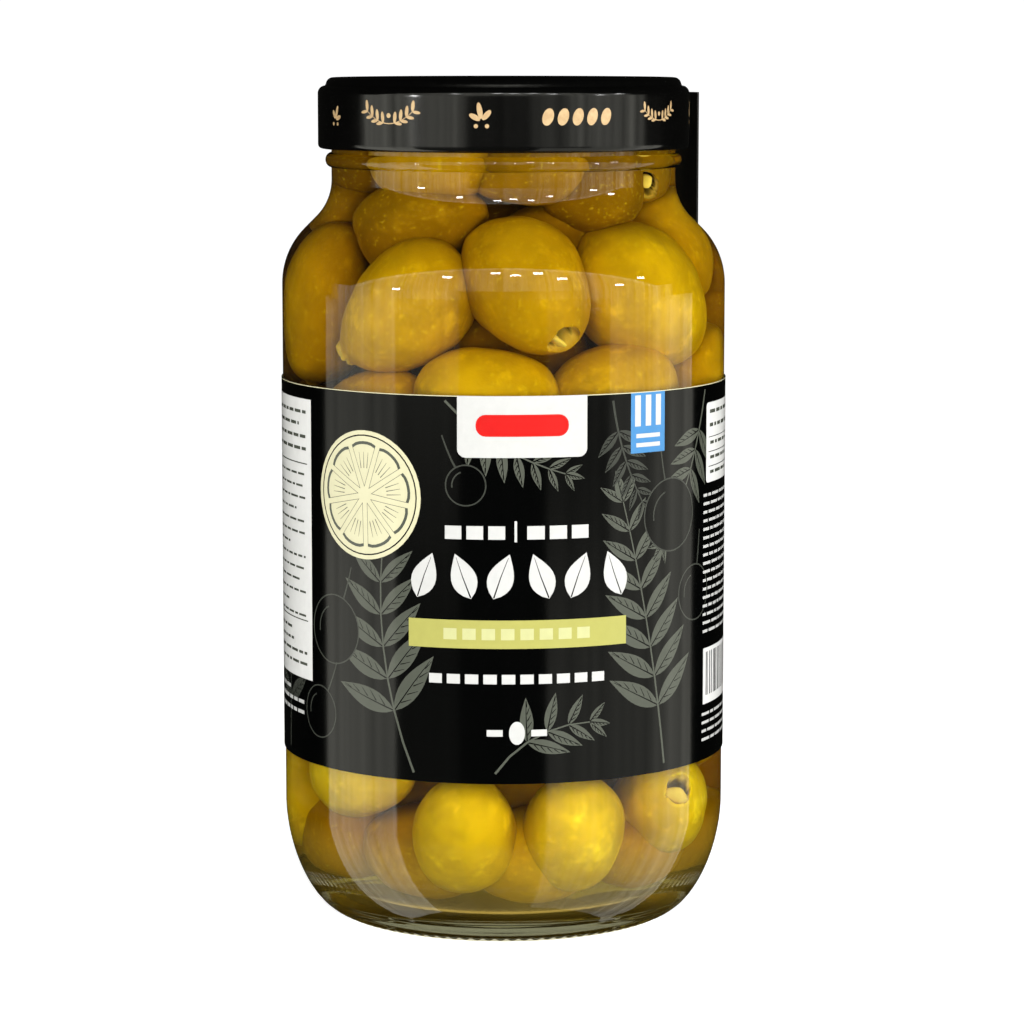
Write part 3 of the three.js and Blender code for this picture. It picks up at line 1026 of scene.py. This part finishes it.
def frond(u, z, turn, length, curve, size, ink=GREY_INK):
    """A fern frond: a curved stem with pairs of leaves that shrink towards its tip."""
    shapes, line = [], []
    pairs = max(4, int(length / (size * 0.42)))
    x, y, heading = u, z, turn
    for i in range(pairs + 1):
        line.append((x, y))
        heading += curve / pairs
        x, y = away(x, y, length / pairs, math.radians(heading))
        if i in (0, pairs):
            continue
        share = i / pairs
        reach = size * (1.05 - 0.7 * share ** 1.5)
        for side in (56, -56):
            shapes += leaf(x, y, reach, reach * 0.30, heading + side * (1 - 0.25 * share), ink)
    shapes += leaf(*line[-1], size * 0.5, size * 0.17, heading, ink)
    shapes.append((stroke(line, 0.6, 0.5), ink))
    return shapes


def berry(u, z, reach, stem_turn):
    """A round berry in outline, with a short stem and a curved shine."""
    shapes = [
        (ellipse(u, z, reach, reach, steps=44), DIM_INK),
        (ellipse(u, z, reach - 0.35, reach - 0.35, steps=44), NONE),
    ]
    stem = []
    for i in range(6):
        x, y = away(u, z, reach + i * 1.3, math.radians(stem_turn))
        stem.append((x, y + 0.25 * i * i * 0.3))
    shine = [away(u, z, reach * 0.66, math.radians(angle)) for angle in range(110, 191, 10)]
    return [*shapes, (stroke(stem, 0.5, 0.3), DIM_INK), (stroke(shine, 0.35), DIM_INK)]


def citrus_slice(u, z, reach):
    """A round slice of fruit: a rind, a pale ring and nine segments."""
    discs = ((0.0, CREAM_INK), (1.0, BLACK_INK), (1.35, CREAM_INK))
    shapes = [(ellipse(u, z, reach - inset, reach - inset, steps=48), ink) for inset, ink in discs]
    wedges, outer, inner = 9, reach - 2.6, 1.9
    half = math.pi / wedges - 0.05
    for i in range(wedges):
        middle = 2 * math.pi * i / wedges + 0.2
        wedge = [away(u, z, inner, middle)]
        for j in range(7):
            far = outer - 0.5 * (abs(j - 3) / 3) ** 3
            wedge.append(away(u, z, far, middle - half + 2 * half * j / 6))
        cut = [
            (u + (x - u) * 0.9 + 0.55 * math.cos(middle), z + (y - z) * 0.9 + 0.55 * math.sin(middle))
            for x, y in wedge
        ]
        shapes += [(wedge, GREY_INK), (cut, CREAM_INK)]
        for side in (-0.45, 0.0, 0.45):
            line = [away(u, z, outer * share, middle + side * half) for share in (0.5, 0.66, 0.8)]
            shapes.append((stroke(line, 0.22, 0.6), GREY_INK))
    return shapes


def bars(left, right, top, pitch, thick, count, ink, seed):
    """Rows of short bars, like lines of small print seen from afar."""
    rng = random.Random(seed)
    shapes = []
    for row in range(count):
        z = top - row * pitch
        u = left
        end = right - (rng.uniform(0, 0.35) * (right - left) if rng.random() < 0.3 else 0)
        while u < end - 0.8:
            length = min(end - u, rng.uniform(1.6, 5.2))
            shapes += boxes(ink, (u, z - thick, u + length, z))
            u += length + 0.8
    return shapes


def plant_art():
    """Fronds and berries in grey, behind everything else on the label."""
    fronds = [
        (-22, 43.5, 116, 62, -34, 17),
        (43, 43.5, 97, 66, 8, 16),
        (-2, 44.0, 62, 27, -58, 11),
        (-14, 133, -48, 34, 30, 10),
        (27, 132.5, -84, 30, 26, 8, DIM_INK),
        (-70, 43.5, 84, 60, 18, 13, DIM_INK),
        (60, 133, -104, 40, -22, 11),
    ]
    berries = [
        (-46, 76, 8.6, 66), (-52, 55, 6.6, 58), (45, 104, 9.0, 104), (55, 84, 7.0, 80), (-9, 113, 5.0, 120),
    ]
    plants = [frond(*row) for row in fronds] + [berry(*row) for row in berries]
    return sum(plants, [])


def bold_leaves():
    """Six leaves in the main line, that lean to the left and the right in turn."""
    shapes = []
    for i in range(6):
        side = 1 if i % 2 else -1
        shapes += leaf(-19.0 + 9.3 * i + 2.0 * side, 86.0, 11.4, 6.2, 90 + 20 * side, WHITE_INK, 0)
    return shapes


def label_shapes():
    edge = LABEL_TOP - 0.2
    return [
        *plant_art(),
        # A cream slice of fruit at the left
        *citrus_slice(-35.5, 109.5, 15.5),
        # The white tab that hangs from the label's upper edge, with a red bar
        *boxes(WHITE_INK, (-11, 119.6, 20.2, LABEL_TOP, 2.0)),
        *boxes(RED_INK, (-6.6, 124.6, 15.6, 129.8, 2.4, 2.4)),
        # The striped stamp
        *boxes(BLUE_INK, (32.0, 119.6, 42.6, LABEL_TOP)),
        *dashes(33.2, 34.9, 126.0, 133.4, 3.2, 3, WHITE_INK),
        *boxes(WHITE_INK, (33.6, 123.2, 41.0, 124.2), (33.6, 121.0, 41.0, 122.0)),
        # A short line of bars, then the main line
        *dashes(-14, -10, 100.2, 103.4, 5.2, 3, WHITE_INK),
        *boxes(WHITE_INK, (2.6, 99.6, 3.2, 104.6)),
        *dashes(5.6, 9.8, 100.2, 103.4, 5.4, 3, WHITE_INK),
        *bold_leaves(),
        # The yellow-green band and its pale bars
        *boxes(GREEN_INK, (-23.2, 74.1, 30.8, 80.9)),
        *dashes(-14.4, -11.2, 76.2, 78.9, 4.6, 8, LIGHT_INK),
        # A line of small bars and an ornament below
        *dashes(-18, -14.8, 65.6, 67.9, 4.4, 10, WHITE_INK),
        (ellipse(3.2, 53.8, 1.9, 2.8), WHITE_INK),
        *boxes(WHITE_INK, (-4.0, 53.0, -0.2, 54.6), (6.6, 53.0, 10.4, 54.6)),
        *side_panels(),
        # The pale cut edge of the paper
        *boxes(CREAM_INK, (-168, edge, -11, LABEL_TOP), (20.2, edge, 168, LABEL_TOP)),
    ]


def side_panels():
    shapes = [
        # The left white panel with ruled lines
        *boxes(PANEL_INK, (-98, 61.9, -55.4, 130.8)),
        *bars(-95, -58.0, 128.0, 3.0, 0.8, 4, GREY_INK, 11),
        *boxes(GREY_INK, (-95, 114.8, -57.4, 115.1)),
        *bars(-95, -58.5, 112.6, 2.9, 0.55, 13, GREY_INK, 12),
        *boxes(GREY_INK, (-95, 76.2, -57.4, 76.5)),
        *bars(-95, -58.0, 74.0, 2.7, 0.7, 4, GREY_INK, 13),
        *bars(-96, -60.0, 59.0, 2.6, 0.9, 3, WHITE_INK, 14),
        # The right panels: a small table, lines of print and a striped panel
        *boxes(PANEL_INK, (61.0, 110.0, 96.0, 129.6, 1.0, 1.0)),
        *bars(63.0, 94.0, 127.8, 3.3, 0.9, 2, GREY_INK, 21),
    ]
    for row in range(3):
        z = 121.0 - 3.6 * row
        shapes += boxes(BLACK_INK, (62.4, z, 94.6, z + 0.2))
        shapes += bars(63.4, 80.0, z - 0.9, 3, 0.8, 1, GREY_INK, 30 + row)
        shapes += bars(86.0, 93.6, z - 0.9, 3, 0.8, 1, GREY_INK, 40 + row)
    shapes += bars(59.6, 98.0, 107.4, 2.1, 0.7, 17, WHITE_INK, 22)
    shapes += boxes(PANEL_INK, (60.0, 55.3, 88.0, 69.2))
    rng = random.Random(23)
    u = 61.6
    while u < 86.0:
        width = rng.choice((0.35, 0.55, 0.9))
        shapes += boxes(BLACK_INK, (u, 57.4, u + width, 68.2))
        u += width + rng.choice((0.4, 0.7, 1.0))
    return [
        *shapes,
        *bars(59.4, 98.0, 53.2, 2.1, 0.7, 4, WHITE_INK, 24),
        # Plain lines of print round the back
        *bars(112, 152, 120, 3.2, 1.2, 10, WHITE_INK, 51),
        *bars(112, 152, 82, 2.6, 1.0, 9, WHITE_INK, 52),
        *bars(-150, -112, 118, 3.0, 1.1, 12, WHITE_INK, 53),
        *bars(-150, -112, 76, 2.6, 1.0, 8, GREY_INK, 54),
    ]


def round_jar(azimuth, radius, height):
    turn = math.radians(azimuth)
    return (radius * math.sin(turn), -radius * math.cos(turn), height)


def label_piece():
    """The paper goes all the way round and laps over itself at the back."""
    def point_at(u, v, side):
        azimuth = mix(*LABEL_ENDS, u)
        lap = LABEL_LAP * smooth(azimuth, *LAP_RISE)
        radius = BODY_RADIUS + LABEL_GAP + side * (LABEL_SHEET - 0.10) + lap + 0.05
        return round_jar(azimuth, radius, mix(LABEL_BOTTOM, LABEL_TOP, v))

    front = paper_material("label_black", (0.0004, 0.0005, 0.0005, 1), 0.11)
    back = paper_material("label_back", (0.62, 0.60, 0.54, 1), 0.6)
    paper = closed_sheet("label_paper", 292, 12, point_at, [front, back])
    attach(paper, "root")
    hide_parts("label")
    ink = wrapped_print("label_print", label_shapes(), LABEL_FACE - 0.05, 0.025, 2.0, label_inks())
    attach(ink, "root")


def gold_sprig(u, z, size, turn):
    """Three short leaves and two dots."""
    shapes = []
    for angle, share in ((turn, 1.0), (turn + 52, 0.75), (turn - 52, 0.75)):
        c, s = math.cos(math.radians(angle)), math.sin(math.radians(angle))
        middle = (u + c * size * 0.55 * share, z + s * size * 0.55 * share)
        shapes.append((ellipse(*middle, size * 0.45 * share, size * 0.15, angle, 14), 0))
    for side in (-1, 1):
        shapes.append((ellipse(u + side * size * 0.3, z - size * 0.28, size * 0.12, size * 0.12, 0, 10), 0))
    return shapes


def gold_garland(u, z, half):
    """Two thin stems that rise to both sides, with small leaves, and a dot between them."""
    shapes = [(ellipse(u, z + half * 0.1, half * 0.09, half * 0.09, 0, 10), 0)]
    for side in (-1, 1):
        line = [(u + side * half * i / 8, z - half * 0.18 + half * 0.42 * (i / 8) ** 2) for i in range(9)]
        shapes.append((stroke(line, 0.24, 0.4), 0))
        for i in (2, 4, 6, 8):
            for tilt, reach in ((58, 0.2), (-34, 0.16)):
                angle = 90 - side * 64 + side * tilt
                length = half * reach
                middle = away(*line[i], length, math.radians(angle))
                shapes.append((ellipse(*middle, length, length * 0.36, angle, 12), 0))
    return shapes


def lid_print_piece():
    shapes = []
    middle = LID_BOTTOM + 8.0
    round_trip = 2 * math.pi * LID_RADIUS
    for copy in range(2):
        shift = copy * round_trip / 2
        shapes += gold_sprig(shift - 49.7, middle - 0.6, 3.6, 70)
        shapes += gold_garland(shift - 29.2, middle, 6.8)
        shapes += gold_sprig(shift - 5.2, middle - 0.4, 4.4, 100)
        shapes += gold_garland(shift + 43.6, middle + 0.4, 5.6)
        shapes += gold_sprig(shift + 70.0, middle - 0.4, 4.0, 90)
        for i in range(5):
            shapes.append((ellipse(shift + 10.6 + 3.75 * i, middle + 0.5, 1.35, 2.1, -18, 18), 0))
    ink = wrapped_print("lid_print", shapes, LID_RADIUS, 0.03, 1.5, [gold_material()])
    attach(ink, "root")


def strip_piece():
    def point_at(u, v, side):
        azimuth = mix(STRIP_FREE_EDGE, STRIP_FAR_EDGE, u)
        height = mix(STRIP_BOTTOM, STRIP_TOP, v)
        bend = smooth(azimuth, *STRIP_TURN) * smooth(height, *STRIP_BEND)
        radius = mix(LABEL_FACE + STRIP_GAP, LID_RADIUS + STRIP_GAP, bend) + (side - 0.3) * STRIP_SHEET
        return round_jar(azimuth, radius, height)

    paper = paper_material("strip_black", linear(14, 14, 13), 0.38)
    made = closed_sheet("seal_strip_paper", 48, 80, point_at, [paper])
    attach(made, "root")
    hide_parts("seal_strip")


# The stage: floor, lamps and camera

# The studio round the jar, as azimuth from the front towards +X and elevation, in degrees. A tall lit
# wall stands in front, its top this high for each metre of its distance. Below it lie the floor's lit
# stretches, with a darker one straight in front. Each row: from, to, lowest, highest, radiance.
WALL_RISE = 0.77
WALL_FOOT = -3.95
WALL_SIDES = (-98.0, 116.0)
WALL_RADIANCE = 0.9
WALL_EDGE = 1.0
STRETCHES = [
    (-104.0, -57.0, -62.0, -7.5, 1.8),
    (-104.0, -57.0, -7.5, WALL_FOOT, 1.1),
    (-57.0, -23.0, -66.0, -7.2, 0.12),
    (-57.0, -23.0, -7.2, WALL_FOOT, 0.4),
    (-23.0, 22.0, -68.0, WALL_FOOT, 0.03),
    (22.0, 56.0, -60.0, -8.6, 0.8),
    (22.0, 56.0, -8.6, WALL_FOOT, 0.2),
    (56.0, 86.0, -60.0, WALL_FOOT, 0.85),
    (86.0, 114.0, -60.0, WALL_FOOT, 1.3),
]
ROOM_RADIANCE = 0.006
SURROUND_RADIANCE = 0.62

# The room at eye level, which is nearly all that the lid's skirt mirrors. Each row: from, to, radiance
EYE_LEVEL = (WALL_FOOT, 4.5)
EYE_LEVEL_LIT = [(-97.0, -24.0, 1.1), (-24.0, 17.0, 0.1), (17.0, 42.0, 0.5), (42.0, 95.0, 0.95)]

# Small bright lamps of the room, as azimuth and elevation
GLINTS = [
    (-55.6, 6.0), (-30.0, 24.0), (-4.0, 31.0), (6.5, 28.0), (19.0, 30.3), (31.0, 22.0),
    (61.0, 10.2), (76.0, 16.0),
]


class Sky(Tree):
    """The world's light as a function of direction, put together from math nodes."""

    def __init__(self, tree):
        super().__init__(tree)
        where = self.node("TexCoord").outputs["Generated"]
        x, y, self.z = self.node("SeparateXYZ", {"Vector": where}).outputs
        self.front = self.times(y, -1.0)
        self.azimuth = self.times(self.math("ARCTAN2", x, self.front), 180 / math.pi)
        self.elevation = self.times(self.math("ARCSINE", self.z), 180 / math.pi)

    def rise(self, value, start, end):
        """0 below start, 1 above end; the other way round where start is the larger."""
        ends = (0.0, 1.0) if start < end else (1.0, 0.0)
        return self.scaled(value, *ends, min(start, end), max(start, end), "SMOOTHSTEP")

    def band(self, value, low, high, soft):
        start = self.rise(value, low - soft, low + soft)
        return self.times(start, self.rise(value, high + soft, high - soft))

    def patch(self, left, right, low, high, radiance, soft=0.9):
        across, up = self.band(self.azimuth, left, right, soft), self.band(self.elevation, low, high, 0.25)
        return self.times(self.times(across, up), radiance)

    def wall(self):
        """The lit wall in front: its top edge sinks towards the sides, as a straight edge's does."""
        forward = self.math("MAXIMUM", self.front, 0.0)
        over = self.math("SUBTRACT", self.z, self.times(forward, WALL_RISE))
        body = self.patch(*WALL_SIDES, EYE_LEVEL[1], 60.0, WALL_RADIANCE)
        edge = self.plus(self.times(self.rise(over, -0.07, -0.04), WALL_EDGE), 1.0)
        light = self.times(self.times(body, self.rise(over, 0.02, -0.02)), edge)
        for left, right, radiance in EYE_LEVEL_LIT:
            light = self.plus(light, self.patch(left, right, *EYE_LEVEL, radiance, 3.0))
        return light

    def streaks(self, strength, least):
        """Upright structure in the room, so that the reflection isn't even."""
        inputs = {"W": self.azimuth, "Scale": 0.16, "Detail": 5.0, "Roughness": 0.7}
        wave = self.node("TexNoise", inputs, noise_dimensions="1D").outputs["Fac"]
        spread = self.times(self.math("SUBTRACT", wave, 0.5), strength)
        return self.math("MAXIMUM", self.plus(spread, 1.0), least)


def world():
    """Mirrors show the studio; what is seen through the jar has an even light behind it."""
    made = bpy.data.worlds.new("studio")
    bpy.context.scene.world = made
    made.use_nodes = True
    sky = Sky(made.node_tree)
    light = sky.times(sky.wall(), sky.streaks(4.4, 0.2))
    low_streaks = sky.streaks(2.0, 0.4)
    for stretch in STRETCHES:
        light = sky.plus(light, sky.times(sky.patch(*stretch), low_streaks))
    light = sky.plus(light, ROOM_RADIANCE)
    rays = sky.node("LightPath").outputs
    through = sky.times(rays["Is Transmission Ray"], SURROUND_RADIANCE)
    mirrored = sky.times(light, sky.math("SUBTRACT", 1.0, rays["Is Transmission Ray"]))
    back = sky.tree.nodes["Background"]
    sky.put(back.inputs["Color"], (1.0, 0.99, 0.87, 1))
    sky.put(back.inputs["Strength"], sky.plus(mirrored, through))
    seen = sky.node("Background", {"Color": WHITE, "Strength": 1.05})
    both = sky.mixed(rays["Is Camera Ray"], back.outputs["Background"], seen.outputs["Background"])
    sky.put(sky.tree.nodes["World Output"].inputs["Surface"], both)


FLOOR_RADIUS = 0.55


def disc(name, reach, height, steps, material):
    """A flat round sheet of the stage, in metres."""
    turns = [2 * math.pi * i / steps for i in range(steps)]
    mesh = bpy.data.meshes.new(name)
    mesh.from_pydata(
        [(reach * math.cos(t), reach * math.sin(t), height) for t in turns], [], [tuple(range(steps))],
    )
    mesh.materials.append(material)
    made = bpy.data.objects.new(name, mesh)
    bpy.context.scene.collection.objects.link(made)
    return made


def floor():
    """A pale round table top. It is left out of mirror reflections, which show the studio instead."""
    nodes = Nodes("floor_pale")
    nodes.set(
        Base_Color=nodes.blend(nodes.noise(40, 3, 0.5), (0.86, 0.86, 0.855, 1), (0.88, 0.88, 0.875, 1)),
        Roughness=0.9, Specular_IOR_Level=0.0, Emission_Color=WHITE, Emission_Strength=0.82,
    )
    made = disc("floor", FLOOR_RADIUS, -0.0002, 96, nodes.material)
    made.visible_glossy = False


def under_jar():
    """The table under the jar, where only light that came through the brine falls. That light is painted:
    the disc glows gold in the middle and grey-green towards its rim, a painted shade.
    """
    reach = (FOOT_RADIUS + 0.6) * MM
    nodes = Nodes("table_painted_light_and_shade")
    where = nodes.place((1 / reach,) * 3)
    from_axis = nodes.node("VectorMath", {0: where}, operation="LENGTH").outputs["Value"]
    # Painted light and shade: the emission glows gold in the middle and fades to a grey-green shade at the
    # rim.
    painted_golden_glow = nodes.blend(nodes.noise(60, 3, 0.5), (0.70, 0.45, 0.07, 1), (0.90, 0.63, 0.18, 1))
    painted_rim_shade = nodes.ramp(from_axis, (0.62, 0), (0.90, 1))
    nodes.set(
        Emission_Color=nodes.blend(painted_rim_shade, painted_golden_glow, (0.55, 0.54, 0.42, 1)), Emission_Strength=1.0,
        Base_Color=(0.2, 0.16, 0.06, 1.0), Roughness=0.9, Specular_IOR_Level=0.0,
    )
    made = disc("under_jar", reach, -0.0001, 64, nodes.material)


def lamp(name, place, aim, width, height, watts, mirrored=False):
    data = bpy.data.lights.new(name, "AREA")
    data.shape = "RECTANGLE"
    data.size, data.size_y, data.energy = width, height, watts
    made = bpy.data.objects.new(name, data)
    made.location = place
    made.rotation_euler = (Vector(aim) - Vector(place)).to_track_quat("-Z", "Y").to_euler()
    made.visible_camera = False
    made.visible_glossy = mirrored
    made.visible_transmission = mirrored
    made.visible_diffuse = not mirrored
    bpy.context.scene.collection.objects.link(made)


def lamps():
    middle = Vector((0, 0, 0.11))
    lamp("overhead", (0, -0.3, 1.4), middle, 1.2, 1.2, 3)
    lamp("side_left", (-1.3, -0.45, 0.12), middle, 0.8, 0.8, 10)
    lamp("side_right", (1.3, -0.45, 0.12), middle, 0.8, 0.8, 17)
    lamp("front_high", (0.35, -1.5, 0.75), middle, 1.4, 0.9, 18.5)
    lamp("front_low", (0.1, -1.2, 0.06), Vector((0, 0, 0.03)), 1.6, 0.25, 12)
    for number, (azimuth, elevation) in enumerate(GLINTS):
        turn, up = math.radians(azimuth), math.radians(elevation)
        way = Vector((math.sin(turn) * math.cos(up), -math.cos(turn) * math.cos(up), math.sin(up)))
        lamp(f"glint_{number}", middle + way * 2.0, middle, 0.16, 0.08, 1.8, True)


def camera():
    data = bpy.data.cameras.new("camera")
    data.sensor_width = SENSOR
    data.lens = SENSOR * FOCAL_PIXELS / IMAGE_SIZE
    data.shift_x = (IMAGE_SIZE / 2 - AXIS_PIXEL) / IMAGE_SIZE
    data.clip_start, data.clip_end = 0.05, 50
    made = bpy.data.objects.new("camera", data)
    made.location = (0, -CAMERA_DISTANCE, CAMERA_HEIGHT)
    made.rotation_euler = (math.radians(90 - CAMERA_PITCH), 0, 0)
    bpy.context.scene.collection.objects.link(made)
    bpy.context.scene.camera = made


def settings():
    scene = bpy.context.scene
    scene.view_settings.view_transform = "Standard"
    scene.cycles.max_bounces = 20
    scene.cycles.diffuse_bounces = 3
    scene.cycles.glossy_bounces = 12
    scene.cycles.transmission_bounces = 16
    scene.cycles.transparent_max_bounces = 18
    scene.cycles.caustics_reflective = False
    scene.cycles.caustics_refractive = False
    scene.cycles.sample_clamp_indirect = 4.0
    scene.cycles.use_denoising = True


camera()
settings()
world()
floor()
under_jar()
lamps()
glass_piece()
brine_piece()
heap_pieces()
lid_piece()
label_piece()
lid_print_piece()
strip_piece()
